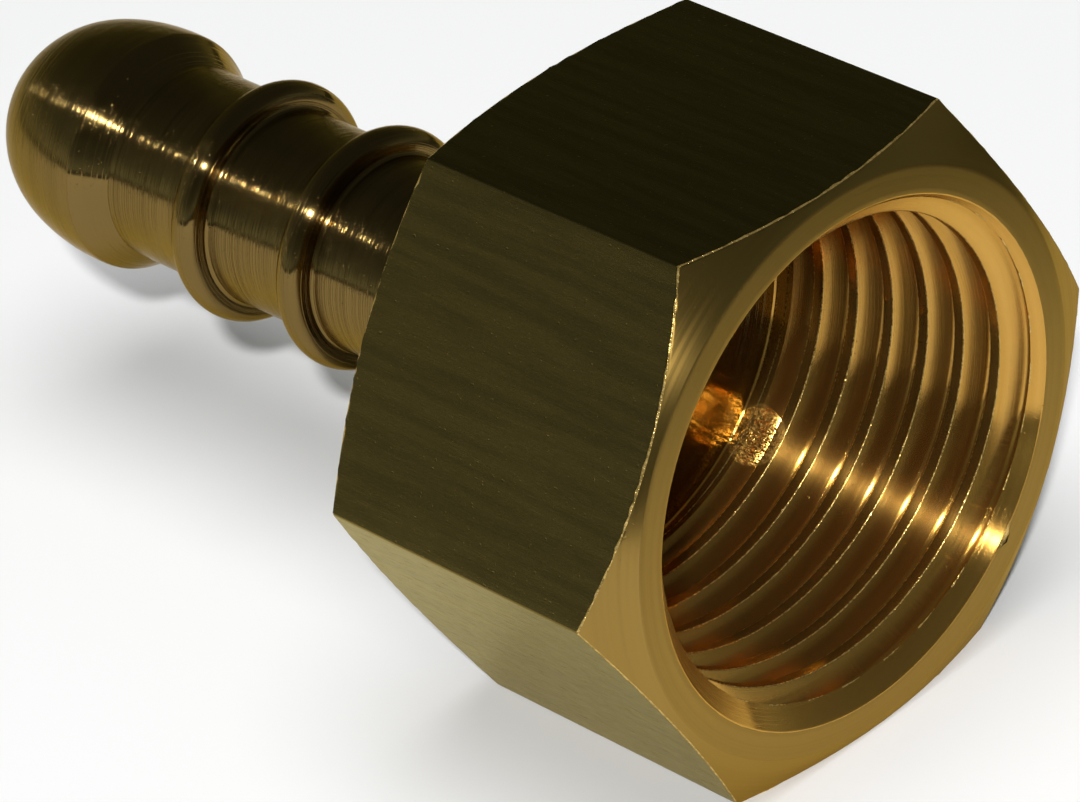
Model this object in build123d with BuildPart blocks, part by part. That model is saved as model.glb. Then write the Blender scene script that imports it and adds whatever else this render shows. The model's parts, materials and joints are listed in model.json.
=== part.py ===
from build123d import *
import os
from math import radians, sqrt, tan

# Hose barb tail, turned in one piece from hexagon brass bar: a socket with a parallel
# female pipe thread at one end and a beaded tail for a push-on gas hose at the other.
# Frame: X is the turning axis. The origin is on it, at the back of the hexagon: the
# socket stands on the +X side and opens towards +X, and the tail points along -X.
# The part lies on the -Z flat of its hexagon. Millimetres.

# Socket, for a G 1/2 thread. Its wall is plain, at the diameter of the thread's crests.
thread_major_dia = 20.955
thread_depth = 0.9775         # from the roots in to the crests, for a 19 mm tapping drill
mouth_clearance = 0.05        # the countersink opens this far outside the thread's roots
countersink_angle = 45.0      # from the axis
bore_depth = 13.0             # mouth to floor
floor_corner = 0.3            # bevel left by the boring tool around the floor

# Hexagon
flat_wall = 1.5225            # brass between the thread's roots and a flat
floor_wall = 1.8              # brass between the socket's floor and the back face
end_ring = 1.12               # width of the flat ring faced around the mouth
mouth_chamfer_angle = 27.0    # from the end face
back_inset = 0.5              # the back face stops this far inside the flats
back_chamfer_angle = 22.5     # from the back face

# Tail, with its lengths measured from the back face
passage_dia = 5.0
passage_entry = 0.5           # chamfer where the passage leaves the socket's floor
tail_wall = 1.6
tail_root_radius = 0.5        # fillet between the tail and the back face
bead_height = 0.95
bead_width = 1.45
bead_count = 2
first_bead = 10.95            # to the middle of the bead
bead_spacing = 6.05
bulb_gap = 5.1                # middle of the last bead to the foot of the bulb
bulb_height = 0.91            # rise of the bulb's flank above the neck
bulb_flank_angle = 33.0       # from the axis
shoulder_radius = 0.5         # rounding at the top of the flank
crest_length = 3.36
crest_fall = 0.37             # drop along the crest, from the flank to the nose
crest_radius = 9.9
nose_length = 2.85
tip_ring = 0.25               # width of the flat ring around the passage at the tip

# Sizes that follow
crest_dia = thread_major_dia - 2 * thread_depth
mouth_dia = thread_major_dia + 2 * mouth_clearance
mouth_face_dia = mouth_dia + 2 * end_ring
across_flats = thread_major_dia + 2 * flat_wall
across_corners = across_flats * 2 / sqrt(3)
back_face_dia = across_flats - 2 * back_inset
hex_length = bore_depth + floor_wall
tail_dia = passage_dia + 2 * tail_wall
bead_r = bead_width / 2
bead_centre_r = tail_dia / 2 + bead_height - bead_r
bead_places = [-first_bead - bead_spacing * i for i in range(bead_count)]

# Stations along X
mouth_x = hex_length
floor_x = mouth_x - bore_depth
countersink_x = mouth_x - (mouth_dia - crest_dia) / 2 / tan(radians(countersink_angle))
bulb_foot_x = bead_places[-1] - bulb_gap
shoulder_x = bulb_foot_x - bulb_height / tan(radians(bulb_flank_angle))
nose_x = shoulder_x - crest_length
tip_x = nose_x - nose_length


with BuildPart() as hose_tail:
    # Hexagon bar, with one flat at +Z and one at -Z
    with BuildSketch(Plane.YZ):
        RegularPolygon(across_flats / 2, 6, major_radius=False)
    extrude(amount=hex_length)

    # Both ends are turned back to cones, which leaves curved edges on the flats
    turned_dia = across_corners + 2 * end_ring
    mouth_run = (turned_dia - mouth_face_dia) / 2 * tan(radians(mouth_chamfer_angle))
    back_run = (turned_dia - back_face_dia) / 2 * tan(radians(back_chamfer_angle))
    with BuildSketch(Plane.XZ):
        with BuildLine():
            Polyline(
                (0, 0),
                (0, back_face_dia / 2),
                (back_run, turned_dia / 2),
                (mouth_x - mouth_run, turned_dia / 2),
                (mouth_x, mouth_face_dia / 2),
                (mouth_x, 0),
                close=True,
            )
        make_face()
    revolve(axis=Axis.X, mode=Mode.INTERSECT)

    # Neck of the tail, with a fillet where it leaves the hexagon
    with BuildSketch(Plane.YZ):
        Circle(tail_dia / 2)
    extrude(amount=bulb_foot_x)
    back_circles = hose_tail.edges().filter_by(GeomType.CIRCLE).filter_by_position(Axis.X, 0, 0)
    fillet(back_circles.sort_by(SortBy.RADIUS)[0], tail_root_radius)

    # Beads around the neck, each a half round on a short straight rise
    for bead_x in bead_places:
        with BuildSketch(Plane.XZ):
            with BuildLine():
                bead = CenterArc((bead_x, bead_centre_r), bead_r, 0, 180)
                Polyline(bead @ 1, (bead_x - bead_r, 0), (bead_x + bead_r, 0), bead @ 0)
            make_face()
        revolve(axis=Axis.X)

    # Bulb: a conical flank, a long crowned crest and a rounded nose with a flat tip
    shoulder_r = tail_dia / 2 + bulb_height
    with BuildSketch(Plane.XZ):
        with BuildLine():
            flank = Polyline(
                (bulb_foot_x, 0), (bulb_foot_x, tail_dia / 2), (shoulder_x, shoulder_r)
            )
            crest = RadiusArc(flank @ 1, (nose_x, shoulder_r - crest_fall), crest_radius)
            nose = TangentArc(
                crest @ 1, (tip_x, passage_dia / 2 + tip_ring), tangent=crest % 1
            )
            Polyline(nose @ 1, (tip_x, 0), (bulb_foot_x, 0))
        make_face()
    revolve(axis=Axis.X)
    shoulder = hose_tail.edges().filter_by_position(Axis.X, shoulder_x, shoulder_x)
    fillet(shoulder, shoulder_radius)

    # Socket and passage, bored from the mouth
    with BuildSketch(Plane.XZ):
        with BuildLine():
            Polyline(
                (mouth_x, 0),
                (mouth_x, mouth_dia / 2),
                (countersink_x, crest_dia / 2),
                (floor_x + floor_corner, crest_dia / 2),
                (floor_x, crest_dia / 2 - floor_corner),
                (floor_x, passage_dia / 2 + passage_entry),
                (floor_x - passage_entry, passage_dia / 2),
                (tip_x, passage_dia / 2),
                (tip_x, 0),
                close=True,
            )
        make_face()
    revolve(axis=Axis.X, mode=Mode.SUBTRACT)

hose_tail.part.label = "hose_tail"

print(f"hexagon {across_flats:.2f} by {hex_length:.2f}, overall length {mouth_x - tip_x:.2f}")
print(f"socket wall radius {crest_dia / 2:.4f}, from {floor_x:.2f} to {countersink_x:.3f}")

os.makedirs("parts", exist_ok=True)
export_step(hose_tail.part, "parts/hose_tail.step")
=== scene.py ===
import json
from math import atan2, cos, pi, radians, sin, sqrt, tan

import bmesh
import bpy
import numpy as np
from mathutils import Matrix, Vector


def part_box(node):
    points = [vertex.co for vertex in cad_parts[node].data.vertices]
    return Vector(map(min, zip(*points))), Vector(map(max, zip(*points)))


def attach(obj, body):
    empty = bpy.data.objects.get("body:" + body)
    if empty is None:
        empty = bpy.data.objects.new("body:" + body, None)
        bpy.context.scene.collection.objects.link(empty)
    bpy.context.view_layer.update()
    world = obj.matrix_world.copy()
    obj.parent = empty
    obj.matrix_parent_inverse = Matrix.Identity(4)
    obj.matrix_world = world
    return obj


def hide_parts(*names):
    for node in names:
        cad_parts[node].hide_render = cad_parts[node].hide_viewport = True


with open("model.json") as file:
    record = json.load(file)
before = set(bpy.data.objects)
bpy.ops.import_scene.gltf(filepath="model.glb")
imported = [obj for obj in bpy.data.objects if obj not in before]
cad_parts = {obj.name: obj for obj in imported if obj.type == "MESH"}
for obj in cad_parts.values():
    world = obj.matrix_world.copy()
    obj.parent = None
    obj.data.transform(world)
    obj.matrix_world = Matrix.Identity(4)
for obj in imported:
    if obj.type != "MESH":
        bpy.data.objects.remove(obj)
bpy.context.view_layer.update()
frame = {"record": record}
print("packed fitting loaded")

# A one-piece brass hose tail, shaped here in millimetres: X is its turning axis, and the socket
# opens towards +X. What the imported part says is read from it, and the rest repeats its drawing.
boxLow, boxHigh = [[1000 * value for value in corner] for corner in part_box("hose_tail")]
mounts = {mount["name"]: mount for mount in frame["record"]["mounts"]}
mouthX = boxHigh[0]
tipX = boxLow[0]
flatR = boxHigh[2]  # from the axis to a flat of the hexagon
crestR = mounts["thread"]["dims"]["r_mm"]  # crests of the female thread
passageR = mounts["passage"]["dims"]["r_mm"]
floorX = 1000 * mounts["washer_seat"]["pos_m"][0]
chance = np.random.default_rng(7)

# The skin is one closed grid. A row goes once round the axis, and a column runs from the tip over
# the outside to the mouth and back down the socket and the passage. The columns stand where the
# outline of the hexagon needs them. A margin is the distance from an edge to the next row, which
# keeps the edge's shading narrow.
hexagon = {
    "cornerRound": 0.12,  # drawn bar has slightly rounded corners
    "cornerSteps": 6,
    "flatSteps": 44,
    "mouthFaceR": 11.6475,
    "mouthChamfer": radians(27),  # from the end face
    "backFaceR": 11.5,
    "backChamfer": radians(22.5),  # from the back face
    "edgeBreak": 0.08,
    "burr": 0.03,  # unevenness of the edges that the lathe left
    "flatMargin": 0.1,
    "coneMargin": (0.02, 0.04),  # along the axis, and towards it
    "faceMargin": 0.15,
}


def barOutline():  # radius and angle of each column
    soft = hexagon["cornerRound"]
    halfSide = radians(30)
    halfFlat = (flatR - soft) * tan(halfSide)
    centreR = (flatR - soft) / cos(halfSide)
    points = []
    for side in range(6):
        facing = radians(30 + 60 * side)
        for y in np.linspace(-halfFlat, halfFlat, hexagon["flatSteps"], endpoint=False):
            points.append((flatR * cos(facing) - y * sin(facing),
                           flatR * sin(facing) + y * cos(facing)))
        corner = facing + halfSide
        for turn in np.linspace(facing, facing + radians(60), hexagon["cornerSteps"], endpoint=False):
            points.append((centreR * cos(corner) + soft * cos(turn),
                           centreR * sin(corner) + soft * sin(turn)))
    points = np.array(points + points[:1])
    return np.hypot(*points.T), np.unwrap(np.arctan2(points[:, 1], points[:, 0]))


barR, around = barOutline()


def ring(x, r, finish):  # one row, and the finish of the skin from it to the next row
    return x + 0 * around, r + 0 * around, finish


def arc(centre, radius, start, end, steps):
    return [(centre[0] + radius * cos(turn), centre[1] + radius * sin(turn))
            for turn in np.linspace(start, end, steps)]


def bearing(centre, point):
    return atan2(point[1] - centre[1], point[0] - centre[0])


def rough(amount):  # uneven edge, the same each time; it closes where the row closes
    uneven = chance.normal(0, amount, len(around))
    uneven[-1] = uneven[0]
    return uneven


tail = {
    "neckR": 4.1,
    "rootFillet": 0.5,
    "beadPlaces": [-17.0, -10.95],
    "beadHeight": 0.95,
    "beadWidth": 1.45,
    "beadFoot": 0.22,  # rounding where a bead meets the neck
    "bulbFoot": -22.1,
    "bulbHeight": 0.91,
    "flankAngle": radians(33),
    "shoulderRound": 0.5,
    "crestLength": 3.36,
    "crestFall": 0.37,
    "crestRound": 9.9,
    "tipRing": 0.25,
    "tipMargin": 0.04,  # also the broken edge of the passage
    "footMargin": 0.12,
    "bulbSteps": 14,
    "beadSteps": 20,
    "beadFootSteps": 6,
    "filletSteps": 7,
}


def bulbRows():
    steps, flank, neckR = tail["bulbSteps"], tail["flankAngle"], tail["neckR"]
    shoulder = Vector((tail["bulbFoot"] - tail["bulbHeight"] / tan(flank), neckR + tail["bulbHeight"]))
    nose = shoulder - Vector((tail["crestLength"], tail["crestFall"]))
    tip = Vector((tipX, passageR + tail["tipRing"]))
    # the crest is one arc from the shoulder to the nose
    chord = shoulder - nose
    inward = Vector((chord.y, -chord.x)).normalized()
    rise = sqrt(tail["crestRound"] ** 2 - chord.length_squared / 4)
    crestCentre = (shoulder + nose) / 2 + inward * rise
    # the nose leaves the crest smoothly and ends at the ring around the passage
    inward = (crestCentre - nose).normalized()
    noseRound = (tip - nose).length_squared / (2 * (tip - nose).dot(inward))
    noseCentre = nose + inward * noseRound
    # the shoulder is rounded between the crest and the straight flank
    fillet = tail["shoulderRound"]
    flankDown = Vector((cos(flank), -sin(flank)))
    flankOut = Vector((sin(flank), cos(flank)))
    reach = shoulder - flankOut * fillet - crestCentre
    along = reach.dot(flankDown)
    back = sqrt(along ** 2 - reach.length_squared + (tail["crestRound"] - fillet) ** 2)
    filletCentre = crestCentre + reach - flankDown * (along + back)
    crestStart, crestEnd = bearing(crestCentre, nose), bearing(crestCentre, filletCentre)
    points = [(tipX, passageR + tail["tipMargin"]), (tipX, tip.y - tail["tipMargin"])]
    points += arc(noseCentre, noseRound, bearing(noseCentre, tip), bearing(noseCentre, nose), steps)
    points += arc(crestCentre, tail["crestRound"], crestStart, crestEnd, steps)[1:-1]
    points += arc(filletCentre, fillet, crestEnd, bearing((0, 0), flankOut), tail["filletSteps"])
    points.append((tail["bulbFoot"] - tail["footMargin"], neckR + tail["footMargin"] * tan(flank)))
    return [ring(x, r, "turned") for x, r in points]


def neckRows():
    neckR, beadR = tail["neckR"], tail["beadWidth"] / 2
    root, foot, footSteps = tail["rootFillet"], tail["beadFoot"], tail["beadFootSteps"]
    points = [(tail["bulbFoot"], neckR), (tail["bulbFoot"] + tail["footMargin"], neckR)]
    for beadX in tail["beadPlaces"]:
        points += arc((beadX - beadR - foot, neckR + foot), foot, -pi / 2, 0, footSteps)
        points += arc((beadX, neckR + tail["beadHeight"] - beadR), beadR, pi, 0, tail["beadSteps"])
        points += arc((beadX + beadR + foot, neckR + foot), foot, pi, 3 * pi / 2, footSteps)
    points += arc((-root, neckR + root), root, -pi / 2, 0, tail["filletSteps"])
    return [ring(x, r, "turned") for x, r in points]


def hexagonRows():  # both ends are cones, which leave curved edges on the flats
    edge, uneven = hexagon["edgeBreak"], rough(hexagon["burr"])
    flatMargin, faceMargin = hexagon["flatMargin"], hexagon["faceMargin"]
    marginX, marginR = hexagon["coneMargin"]
    backR, mouthR = hexagon["backFaceR"], hexagon["mouthFaceR"]
    backSlope, mouthSlope = tan(hexagon["backChamfer"]), tan(hexagon["mouthChamfer"])
    backX = (barR - backR) * backSlope
    frontX = mouthX - (barR - mouthR) * mouthSlope
    return [
        ring(0, backR - faceMargin, "turned"),
        ring(0, backR - edge / 2, "turned"),
        ring(edge / 2 * backSlope, backR + edge / 2, "coned"),
        ring(backX - edge * backSlope - marginX, barR - edge - marginR, "coned"),
        ring(backX - edge * backSlope / 2, barR - edge / 2, "burred"),
        ring(backX + edge / 2 + uneven, barR, "drawn"),
        ring(backX + edge / 2 + flatMargin, barR, "drawn"),
        ring(frontX - edge / 2 - flatMargin, barR, "drawn"),
        ring(frontX - edge / 2 + uneven, barR, "burred"),
        ring(frontX + edge * mouthSlope / 2, barR - edge / 2, "coned"),
        ring(frontX + edge * mouthSlope + marginX, barR - edge - marginR, "coned"),
        ring(mouthX - edge / 2 * mouthSlope, mouthR + edge / 2, "faced"),
        ring(mouthX, mouthR - edge / 2, "faced"),
        ring(mouthX, mouthR - faceMargin, "faced"),
    ]


# Female pipe thread: flat crests at the drilled wall, round roots, cut by a 45 degree countersink
thread = {
    "pitch": 1.814,
    "turn": 0.256,  # where the helix stands, as a share of a turn
    "flankAngle": radians(27.5),
    "rootR": 10.4775,
    "rootRound": 0.249,
    "rootSteps": 5,
    "edgeRound": 0.08,
    "edgeSteps": 4,
    "fadeFrom": 0.3,  # from the floor: the groove begins here
    "fullFrom": 1.4,  # from the floor: it has its full depth from here on
    "mouthR": 10.5275,
    "countersink": radians(45),
    "mouthSteps": 26,
    "wallMargin": 0.02,  # from the foot of the countersink to the last of its rows
    "helixMargin": 0.01,  # from there to the rows along the helix
}
socket = {
    "mouthBreak": 0.03,
    "mouthBurr": 0.006,
    "faceMargin": 0.25,
    "cornerBevel": 0.06,
    "floorMargin": 0.1,
    "passageEntry": 0.5,
    "nickAt": radians(-45.5),  # a knock in the mouth's edge
    "nickWidth": radians(1.6),
    "nickDepth": 0.35,
    "nickFall": 0.6,  # how far it goes down the socket, as a share of its depth
    "nickBurr": 0.01,  # where it is deeper than this, it looks burred
}


def threadProfile():  # offsets and radii, from the middle of one crest to the middle of the next
    flank, soft, roundR = thread["flankAngle"], thread["edgeRound"], thread["rootRound"]
    middle = thread["pitch"] / 2
    apexR = thread["rootR"] - roundR + roundR / sin(flank)
    crestHalf = middle - (apexR - crestR) * tan(flank)
    start = crestHalf - soft * tan((pi / 2 - flank) / 2)
    crest = [(start + soft * sin(turn), crestR + soft * (1 - cos(turn)))
             for turn in np.linspace(0, pi / 2 - flank, thread["edgeSteps"])]
    root = [(middle - roundR * sin(turn), thread["rootR"] - roundR * (1 - cos(turn)))
            for turn in np.linspace(pi / 2 - flank, 0, thread["rootSteps"])]
    half = [(0, crestR)] + crest + [tuple(np.mean([crest[-1], root[0]], axis=0))] + root
    both = half + [(thread["pitch"] - x, r) for x, r in reversed(half[:-1])]
    return np.array(both).T


profileX, profileR = threadProfile()


def grooveR(x):  # the groove fades out near the floor, where the tap stopped
    phase = (x / thread["pitch"] - around / (2 * pi) - thread["turn"]) % 1
    depth = np.interp(phase * thread["pitch"], profileX, profileR) - crestR
    full = thread["rootR"] - crestR
    fade = np.clip((x - floorX - thread["fadeFrom"]) / (thread["fullFrom"] - thread["fadeFrom"]), 0, 1)
    return crestR + np.maximum(depth - full * (1 - fade), 0)


def coneR(x):
    return thread["mouthR"] - (mouthX - x) * tan(thread["countersink"])


def crestFinish(offset):  # the rounded edges of the crests look burred
    edges = thread["edgeSteps"]
    atEdge = profileX[1] < offset < profileX[edges] or profileX[-1 - edges] < offset < profileX[-2]
    return "burred" if atEdge else "cut"


def countersinkRows(coneX):  # straight rows, each moved to where the cone cuts the thread
    places = np.linspace(mouthX - socket["mouthBreak"], coneX, thread["mouthSteps"])
    xs = np.array([x + 0 * around for x in places])
    above = np.array([grooveR(x) - coneR(x) for x in xs])
    cutHere = np.zeros(xs.shape, bool)
    for row in range(len(xs) - 1):
        crossed = above[row] * above[row + 1] < 0
        share = above[row] / np.where(crossed, above[row] - above[row + 1], 1)
        cut = xs[row] + (xs[row + 1] - xs[row]) * share
        nearer = share < 0.5
        if row > 0:
            xs[row] = np.where(crossed & nearer, cut, xs[row])
        xs[row + 1] = np.where(crossed & ~nearer, cut, xs[row + 1])
        cutHere[row] |= crossed
    return [(x, np.maximum(grooveR(x), coneR(x)), np.where(burred, "burred", "cut"))
            for x, burred in zip(xs, cutHere)]


def helixRows(low, high):  # rows along the helix, each held between two places on the wall
    pitch = thread["pitch"]
    # a turn is spare at each end, and its rows are left out or held to the end of the wall
    turns = int((high - low) / pitch) + 3
    start = np.floor(low / pitch - around[0] / (2 * pi) - thread["turn"]) - 1 + thread["turn"]
    rows = []
    for turn in reversed(range(turns)):
        for offset in reversed(profileX[:-1]):
            x = np.clip((start + turn + around / (2 * pi)) * pitch + offset, low, high)
            if x.max() > low and x.min() < high:
                rows.append((x, grooveR(x), crestFinish(offset)))
    return rows


def threadRows():
    low = floorX + socket["cornerBevel"]
    coneX = mouthX - (thread["mouthR"] - crestR) / tan(thread["countersink"]) - thread["wallMargin"]
    high = coneX - thread["helixMargin"]
    return countersinkRows(coneX) + [ring(high, grooveR(high), "cut")] + helixRows(low, high)


def socketRows():
    edge, bevel = socket["mouthBreak"], socket["cornerBevel"]
    mouthR, entryR = thread["mouthR"], passageR + socket["passageEntry"]
    away = (around - socket["nickAt"] + pi) % (2 * pi) - pi
    nick = socket["nickDepth"] * np.exp(-(away / socket["nickWidth"]) ** 2)
    nickFinish = np.where(nick > socket["nickBurr"], "burred", "cut")
    uneven = rough(socket["mouthBurr"])
    rows = [
        ring(mouthX, mouthR + socket["faceMargin"], "faced"),
        ring(mouthX, mouthR + edge + nick + uneven, nickFinish),
        ring(mouthX - edge / 2 - nick * socket["nickFall"], mouthR - edge / 2, "cut"),
    ]
    rows += threadRows()
    rows += [
        ring(floorX + bevel, crestR, "cut"),
        ring(floorX, crestR - bevel, "turned"),
        ring(floorX, crestR - bevel - socket["floorMargin"], "turned"),
        ring(floorX, entryR + socket["floorMargin"], "turned"),
        ring(floorX, entryR, "cut"),
        ring(floorX - socket["passageEntry"], passageR, "cut"),
        ring(tipX + tail["tipMargin"], passageR, "turned"),
    ]
    return rows


finishNames = ["drawn", "turned", "coned", "faced", "cut", "burred"]
grid = {  # lengths in metres
    "mergeWithin": 1e-6,
    "thinnest": 1e-7,
    "sharpFrom": radians(30),
    "textureReach": 0.03,
}


def kindsOf(finish, across):  # a row has one finish, or one for each column
    if isinstance(finish, str):
        return np.full(across, finishNames.index(finish))
    return np.array([finishNames.index(name) for name in finish[:across]])


def skin(rows):
    points = np.array([(x, r * np.cos(around), r * np.sin(around)) for x, r, finish in rows]) / 1000
    points = points.transpose(0, 2, 1)
    count, across = points.shape[:2]
    row, column = np.meshgrid(np.arange(count), np.arange(across - 1), indexing="ij")
    here, after = row * across + column, (row + 1) % count * across + column
    quads = np.stack([here, after, after + 1, here + 1], axis=-1).reshape(-1, 4)
    kinds = np.concatenate([kindsOf(finish, across - 1) for x, r, finish in rows])
    mesh = bpy.data.meshes.new("hoseTailBody")
    mesh.from_pydata(points.reshape(-1, 3).tolist(), [], quads.tolist())
    mesh.polygons.foreach_set("material_index", kinds.astype(np.int32))
    # merge the last column with the first, and rows where they are held to one place
    work = bmesh.new()
    work.from_mesh(mesh)
    bmesh.ops.remove_doubles(work, verts=work.verts, dist=grid["mergeWithin"])
    bmesh.ops.dissolve_degenerate(work, edges=work.edges, dist=grid["thinnest"])
    bmesh.ops.recalc_face_normals(work, faces=work.faces)
    openEdges = sum(1 for edge in work.edges if not edge.is_manifold)
    triangles = sum(len(face.verts) - 2 for face in work.faces)
    work.to_mesh(mesh)
    work.free()
    mesh.shade_smooth()
    mesh.set_sharp_from_angle(angle=grid["sharpFrom"])
    # the brass takes its direction round the axis from this space, which is a cube about the axis
    mesh.use_auto_texspace = False
    mesh.texspace_location = (0, 0, 0)
    mesh.texspace_size = [grid["textureReach"]] * 3
    print("skin:", triangles, "triangles,", openEdges, "open edges")
    return mesh


hoseTailSkin = skin(bulbRows() + neckRows() + hexagonRows() + socketRows())
body = bpy.data.objects.new("hoseTailBody", hoseTailSkin)
bpy.context.collection.objects.link(body)
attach(body, "root")
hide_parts("hose_tail")

# Each finish: its clean and its tarnished colour, the share of them that is kept at a slant, its
# roughness where it is shiny and where it is dull, and the marks that its tool leaves. Widths
# and depths are in metres. Both colours are painted light and shade laid on one brass: all are
# much darker than real brass, as painted shade for a table dimmer than the white card it mirrors;
# the drawn flats and the turned tail are painted darkest, as painted shade where they mirror the
# card; the cut brass in the socket is painted much lighter, as painted light that bounces round
# inside it; the burred edges are lighter than the brass around them too.
finishes = {
    "drawn": {
        # painted shade: much darker than real brass, and among the darkest
        "colourAndPaintedLight": (0.19, 0.132, 0.038), "tarnish": (0.148, 0.106, 0.032),
        "edgeTint": (0.92, 0.85, 0.54, 1), "metallic": 1.0, "roughness": (0.2, 0.28),
        "anisotropic": 0.7, "rotation": 0.0, "marks": "drawn", "stretch": 0.07,
        "streakWidth": 0.0005, "markWidth": 0.00007, "markDepth": 1.8e-6,
        "scratchDepth": 8e-7, "pitDepth": 9e-6,
    },
    "turned": {
        # painted shade: much darker than real brass, darkest here where the tail mirrors the card
        "colourAndPaintedLight": (0.205, 0.134, 0.043), "tarnish": (0.18, 0.118, 0.038),
        "edgeTint": (0.8, 0.66, 0.42, 1), "metallic": 1.0, "roughness": (0.13, 0.19),
        "anisotropic": 1.0, "rotation": 0.25, "marks": "turned", "stretch": 0.002,
        "streakWidth": 0.0012, "markWidth": 0.0001, "markDepth": 1.5e-6,
        "scratchDepth": 9e-6, "pitDepth": 8e-6,
    },
    "coned": {
        # painted shade: darker than real brass, though lighter than the tail
        "colourAndPaintedLight": (0.345, 0.218, 0.055), "tarnish": (0.325, 0.203, 0.05),
        "edgeTint": (0.8, 0.66, 0.42, 1), "metallic": 1.0, "roughness": (0.3, 0.38),
        "anisotropic": 0.9, "rotation": 0.25, "marks": "turned", "stretch": 0.002,
        "streakWidth": 0.0012, "markWidth": 0.0001, "markDepth": 2e-6,
        "scratchDepth": 5e-7, "pitDepth": 3e-6,
    },
    "faced": {
        # painted shade: darker than real brass, though lighter than the tail
        "colourAndPaintedLight": (0.33, 0.206, 0.051), "tarnish": (0.31, 0.194, 0.046),
        "edgeTint": (0.8, 0.66, 0.42, 1), "metallic": 1.0, "roughness": (0.42, 0.5),
        "anisotropic": 0.2, "rotation": 0.25, "marks": "turned", "stretch": 0.002,
        "streakWidth": 0.0012, "markWidth": 0.00012, "markDepth": 2e-6,
        "scratchDepth": 5e-7, "pitDepth": 3e-6,
    },
    "cut": {
        # painted light: much lighter than the rest, for light that bounces round inside the socket
        "colourAndPaintedLight": (0.62, 0.35, 0.078), "tarnish": (0.55, 0.3, 0.06),
        "edgeTint": (0.8, 0.66, 0.42, 1), "metallic": 0.95, "roughness": (0.19, 0.22),
        "anisotropic": 1.0, "rotation": 0.25, "marks": "turned", "stretch": 0.01,
        "streakWidth": 0.0008, "markWidth": 0.0001, "markDepth": 8e-7,
        "scratchDepth": 1.2e-6, "pitDepth": 4e-6, "chatterDepth": 9e-5,
    },
    "burred": {
        "colourAndPaintedLight": (0.7, 0.48, 0.16), "tarnish": (0.44, 0.29, 0.08),
        "edgeTint": (0.8, 0.66, 0.42, 1), "metallic": 0.8, "roughness": (0.2, 0.4),
        "anisotropic": 0.0, "rotation": 0.0, "marks": "turned", "stretch": 0.8,
        "streakWidth": 0.0002, "markWidth": 0.00012, "markDepth": 2.5e-5,
        "scratchDepth": 4e-6, "pitDepth": 2e-5,
    },
}

# What all the finishes share. Levels say where a noise begins to show and where it shows fully.
wear = {
    "scratchWidth": 1.3,  # as a share of the width of the tool's marks
    "scratchLevel": 0.03,  # the noise draws a scratch this near its middle
    "pitWidth": 0.00016,
    "pitLevels": (0.71, 0.82),
    "glossWidth": 0.7,  # as a share of the width of the tool's marks
    "glossLevels": (0.42, 0.66),
    "tarnishLevels": (0.4, 0.6),
}

# Rough spot where the tap stopped, near the floor of the socket
chatter = {
    "fromFloor": 1.1,  # in millimetres, and the rest in metres
    "at": radians(-47.5),
    "core": 0.0005,
    "reach": 0.0013,
    "grain": 0.0002,
}


def maths(tree, operation, first, second=0.0):
    made = tree.nodes.new("ShaderNodeMath")
    made.operation = operation
    for way, value in zip(made.inputs, (first, second)):
        if isinstance(value, float):
            way.default_value = value
        else:
            tree.links.new(value, way)
    return made.outputs[0]


def noiseAt(tree, place, width, detail):
    noise = tree.nodes.new("ShaderNodeTexNoise")
    noise.inputs["Scale"].default_value = 1 / width
    noise.inputs["Detail"].default_value = detail
    tree.links.new(place, noise.inputs["Vector"])
    return noise.outputs["Fac"]


def remap(tree, value, fromLow, fromHigh, toLow, toHigh):
    made = tree.nodes.new("ShaderNodeMapRange")
    for way, level in zip(made.inputs[1:5], (fromLow, fromHigh, toLow, toHigh)):
        way.default_value = level
    tree.links.new(value, made.inputs[0])
    return made.outputs[0]


def markPlace(tree, place, finish):  # marks run round the axis on turned skin, along it on drawn
    apart = tree.nodes.new("ShaderNodeSeparateXYZ")
    tree.links.new(place, apart.inputs[0])
    x, y, z = apart.outputs
    stretch = finish["stretch"]
    if finish["marks"] == "turned":
        square = maths(tree, "ADD", maths(tree, "MULTIPLY", y, y), maths(tree, "MULTIPLY", z, z))
        ways = [maths(tree, "ADD", x, maths(tree, "SQRT", square))]
        ways += [maths(tree, "MULTIPLY", way, stretch) for way in (y, z)]
    else:
        ways = [maths(tree, "MULTIPLY", x, stretch), y, z]
    across = tree.nodes.new("ShaderNodeCombineXYZ")
    for way, target in zip(ways, across.inputs):
        tree.links.new(way, target)
    return across.outputs[0]


def chatterHeight(tree, place, depth):
    away = tree.nodes.new("ShaderNodeVectorMath")
    away.operation = "DISTANCE"
    spot = Vector((floorX + chatter["fromFloor"],
                   crestR * cos(chatter["at"]), crestR * sin(chatter["at"])))
    away.inputs[1].default_value = spot / 1000
    tree.links.new(place, away.inputs[0])
    deep = remap(tree, away.outputs["Value"], chatter["core"], chatter["reach"], depth, 0.0)
    return maths(tree, "MULTIPLY", noiseAt(tree, place, chatter["grain"], detail=1.5), deep)


def surfaceHeight(tree, place, across, finish):  # tool marks, steep scratches along them, and pits
    width = finish["markWidth"]
    marks = maths(tree, "MULTIPLY", noiseAt(tree, across, width, detail=2.0), finish["markDepth"])
    scratched = noiseAt(tree, across, width * wear["scratchWidth"], detail=1.0)
    offMiddle = maths(tree, "ABSOLUTE", maths(tree, "SUBTRACT", scratched, 0.5))
    scratches = remap(tree, offMiddle, 0.0, wear["scratchLevel"], -finish["scratchDepth"], 0.0)
    pitted = noiseAt(tree, place, wear["pitWidth"], detail=1.0)
    pits = remap(tree, pitted, *wear["pitLevels"], 0.0, -finish["pitDepth"])
    height = maths(tree, "ADD", marks, maths(tree, "ADD", scratches, pits))
    if "chatterDepth" in finish:
        height = maths(tree, "ADD", height, chatterHeight(tree, place, finish["chatterDepth"]))
    return height


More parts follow.
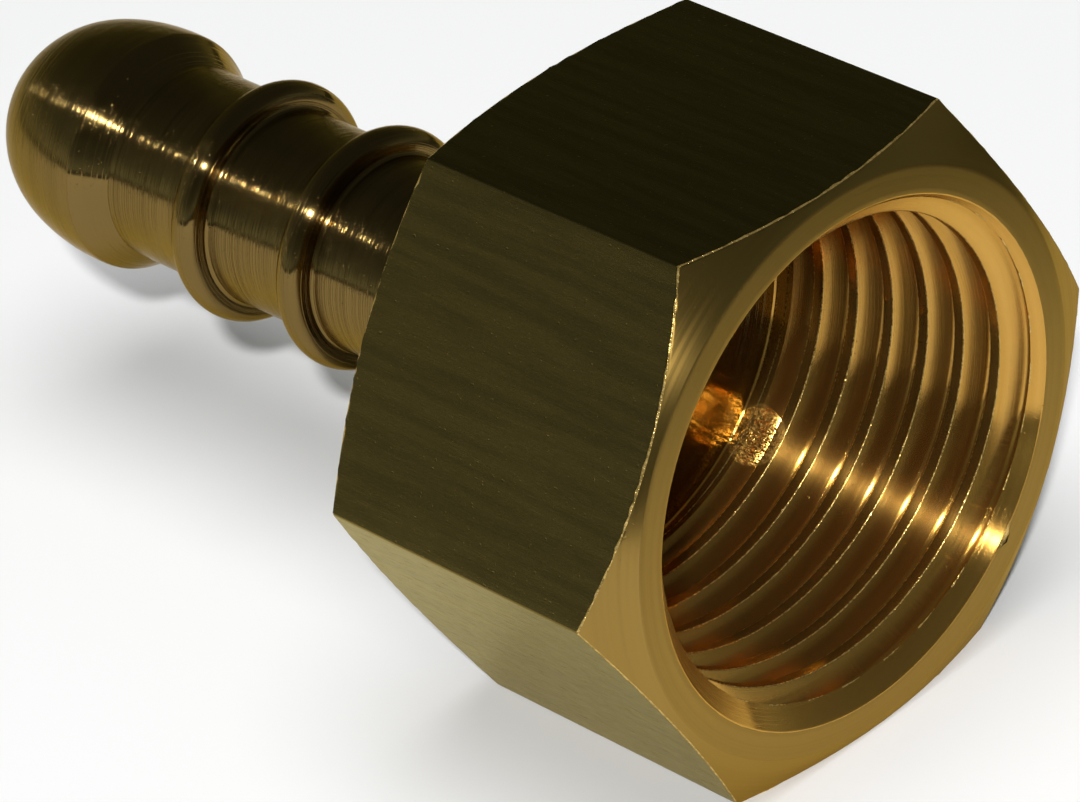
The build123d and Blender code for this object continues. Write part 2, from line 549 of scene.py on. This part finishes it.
def tarnishStreaks(tree, across, finish):
    start, end = wear["tarnishLevels"]
    tint = tree.nodes.new("ShaderNodeMapRange")
    tint.data_type = "FLOAT_VECTOR"
    levels = ((start,) * 3, (end,) * 3, finish["colourAndPaintedLight"], finish["tarnish"])
    for way, level in zip(tint.inputs[7:11], levels):
        way.default_value = level
    tree.links.new(noiseAt(tree, across, finish["streakWidth"], detail=6.0), tint.inputs[6])
    return tint.outputs["Vector"]


def brass(name, finish):
    mat = bpy.data.materials.new(name)
    mat.use_nodes = True
    tree = mat.node_tree
    shader = tree.nodes["Principled BSDF"]
    shader.inputs["Metallic"].default_value = finish["metallic"]
    shader.inputs["Specular Tint"].default_value = finish["edgeTint"]
    shader.inputs["Anisotropic"].default_value = finish["anisotropic"]
    shader.inputs["Anisotropic Rotation"].default_value = finish["rotation"]
    tangent = tree.nodes.new("ShaderNodeTangent")
    tangent.direction_type = "RADIAL"
    tangent.axis = "X"
    tree.links.new(tangent.outputs["Tangent"], shader.inputs["Tangent"])
    place = tree.nodes.new("ShaderNodeTexCoord").outputs["Object"]
    across = markPlace(tree, place, finish)
    bump = tree.nodes.new("ShaderNodeBump")
    bump.inputs["Distance"].default_value = 1
    tree.links.new(surfaceHeight(tree, place, across, finish), bump.inputs["Height"])
    tree.links.new(bump.outputs["Normal"], shader.inputs["Normal"])
    hazy = noiseAt(tree, across, finish["markWidth"] * wear["glossWidth"], detail=3.0)
    gloss = remap(tree, hazy, *wear["glossLevels"], *finish["roughness"])
    tree.links.new(gloss, shader.inputs["Roughness"])
    tree.links.new(tarnishStreaks(tree, across, finish), shader.inputs["Base Color"])
    return mat


for name in finishNames:
    # each material carries its finish's colour, with the painted light and shade in it
    body.data.materials.append(brass(name + "BrassAndPaintedLight", finishes[name]))
print("brass finishes made")

# A sheet of pale card, one small bright lamp beside the viewer and a broad soft one over the card.
# The room's levels say how bright it is at each height, from straight down to straight up.
studio = {
    "cardZ": -0.012,
    "cardFront": (0.0425, 0.0048),  # a point on the card's front edge
    "cardAlong": (0.41, -0.91),
    "cardLength": (-0.16, 0.16),
    "cardDepth": 0.2,
    "cardColour": (0.92, 0.92, 0.92),
    "cardRoughness": 0.9,
    "cardShine": 0.1,
    "lampWay": (0.551, -0.548, 0.629),
    "lampDistance": 1.0,
    "lampSize": 0.05,
    "lampWatts": 7.8,
    "softPlace": (0.05, -0.05, 0.6),
    "softSize": 0.5,
    "softWatts": 2.15,
    "roomColour": (0.92, 1.04, 1.0),
    "roomLevels": {
        -1.0: 0.06, -0.02: 0.08, 0.0: 0.30, 0.12: 0.19, 0.22: 0.105, 0.5: 0.058, 1.0: 0.052,
    },
    "paleSide": (-0.62, -0.75, 0.2),  # the room is paler this way
    "paleLevels": (0.4, 0.95),  # cosines of the angle from there, where it begins and is full
    "paleness": 1.7,
}


def addLamp(name, size, watts, place):
    light = bpy.data.lights.new(name, "AREA")
    light.shape = "DISK"
    light.size = size
    light.energy = watts
    lamp = bpy.data.objects.new(name, light)
    lamp.location = place
    lamp.rotation_euler = Vector(place).to_track_quat("Z", "Y").to_euler()
    bpy.context.collection.objects.link(lamp)
    return lamp


def paintRoom(tree):  # dim room, paler towards the horizon and dark below it
    background = tree.nodes["Background"]
    direction = tree.nodes.new("ShaderNodeTexCoord").outputs["Generated"]
    apart = tree.nodes.new("ShaderNodeSeparateXYZ")
    tree.links.new(direction, apart.inputs[0])
    ramp = tree.nodes.new("ShaderNodeValToRGB")
    stops = ramp.color_ramp.elements
    while len(stops) < len(studio["roomLevels"]):
        stops.new(0.5)
    for stop, (height, level) in zip(stops, studio["roomLevels"].items()):
        stop.position = (height + 1) / 2
        stop.color = (*[level * part for part in studio["roomColour"]], 1)
    tree.links.new(remap(tree, apart.outputs[2], -1.0, 1.0, 0.0, 1.0), ramp.inputs[0])
    tree.links.new(ramp.outputs[0], background.inputs["Color"])
    side = tree.nodes.new("ShaderNodeVectorMath")
    side.operation = "DOT_PRODUCT"
    side.inputs[1].default_value = studio["paleSide"]
    tree.links.new(direction, side.inputs[0])
    paler = remap(tree, side.outputs["Value"], *studio["paleLevels"], 1.0, studio["paleness"])
    tree.links.new(paler, background.inputs["Strength"])


def layCard():
    along = Vector((*studio["cardAlong"], 0)).normalized()
    back = Vector((along.y, -along.x, 0))
    front = Vector((*studio["cardFront"], studio["cardZ"]))
    start, end = studio["cardLength"]
    corners = [front + along * start, front + along * end]
    corners += [corner + back * studio["cardDepth"] for corner in reversed(corners)]
    mesh = bpy.data.meshes.new("card")
    mesh.from_pydata(corners, [], [(0, 1, 2, 3)])
    card = bpy.data.objects.new("card", mesh)
    bpy.context.collection.objects.link(card)
    mat = bpy.data.materials.new("paleCard")
    mat.use_nodes = True
    shader = mat.node_tree.nodes["Principled BSDF"]
    shader.inputs["Base Color"].default_value = (*studio["cardColour"], 1)
    shader.inputs["Roughness"].default_value = studio["cardRoughness"]
    shader.inputs["Specular IOR Level"].default_value = studio["cardShine"]
    mesh.materials.append(mat)


def buildStudio():
    layCard()
    lampPlace = Vector(studio["lampWay"]).normalized() * studio["lampDistance"]
    addLamp("lamp", studio["lampSize"], studio["lampWatts"], lampPlace)
    soft = addLamp("softLamp", studio["softSize"], studio["softWatts"], studio["softPlace"])
    soft.visible_glossy = False
    world = bpy.data.worlds.new("room")
    world.use_nodes = True
    paintRoom(world.node_tree)
    bpy.context.scene.world = world


viewer = {
    "place": (0.15258, -0.13784, 0.13304),
    "right": (0.71065, 0.69590, -0.10344),
    "up": (-0.32607, 0.45606, 0.82806),
    "lens": 212.92,
    "filmWidth": 36,
    "nearest": 0.01,
}


def buildCamera():
    data = bpy.data.cameras.new("camera")
    data.lens = viewer["lens"]
    data.sensor_width = viewer["filmWidth"]
    data.clip_start = viewer["nearest"]
    camera = bpy.data.objects.new("camera", data)
    bpy.context.collection.objects.link(camera)
    right, up = Vector(viewer["right"]).normalized(), Vector(viewer["up"]).normalized()
    place = Matrix((right, up, right.cross(up))).transposed().to_4x4()
    place.translation = Vector(viewer["place"])
    camera.matrix_world = place
    bpy.context.scene.camera = camera


buildStudio()
buildCamera()
bpy.context.scene.view_settings.view_transform = "Standard"
print("studio ready")
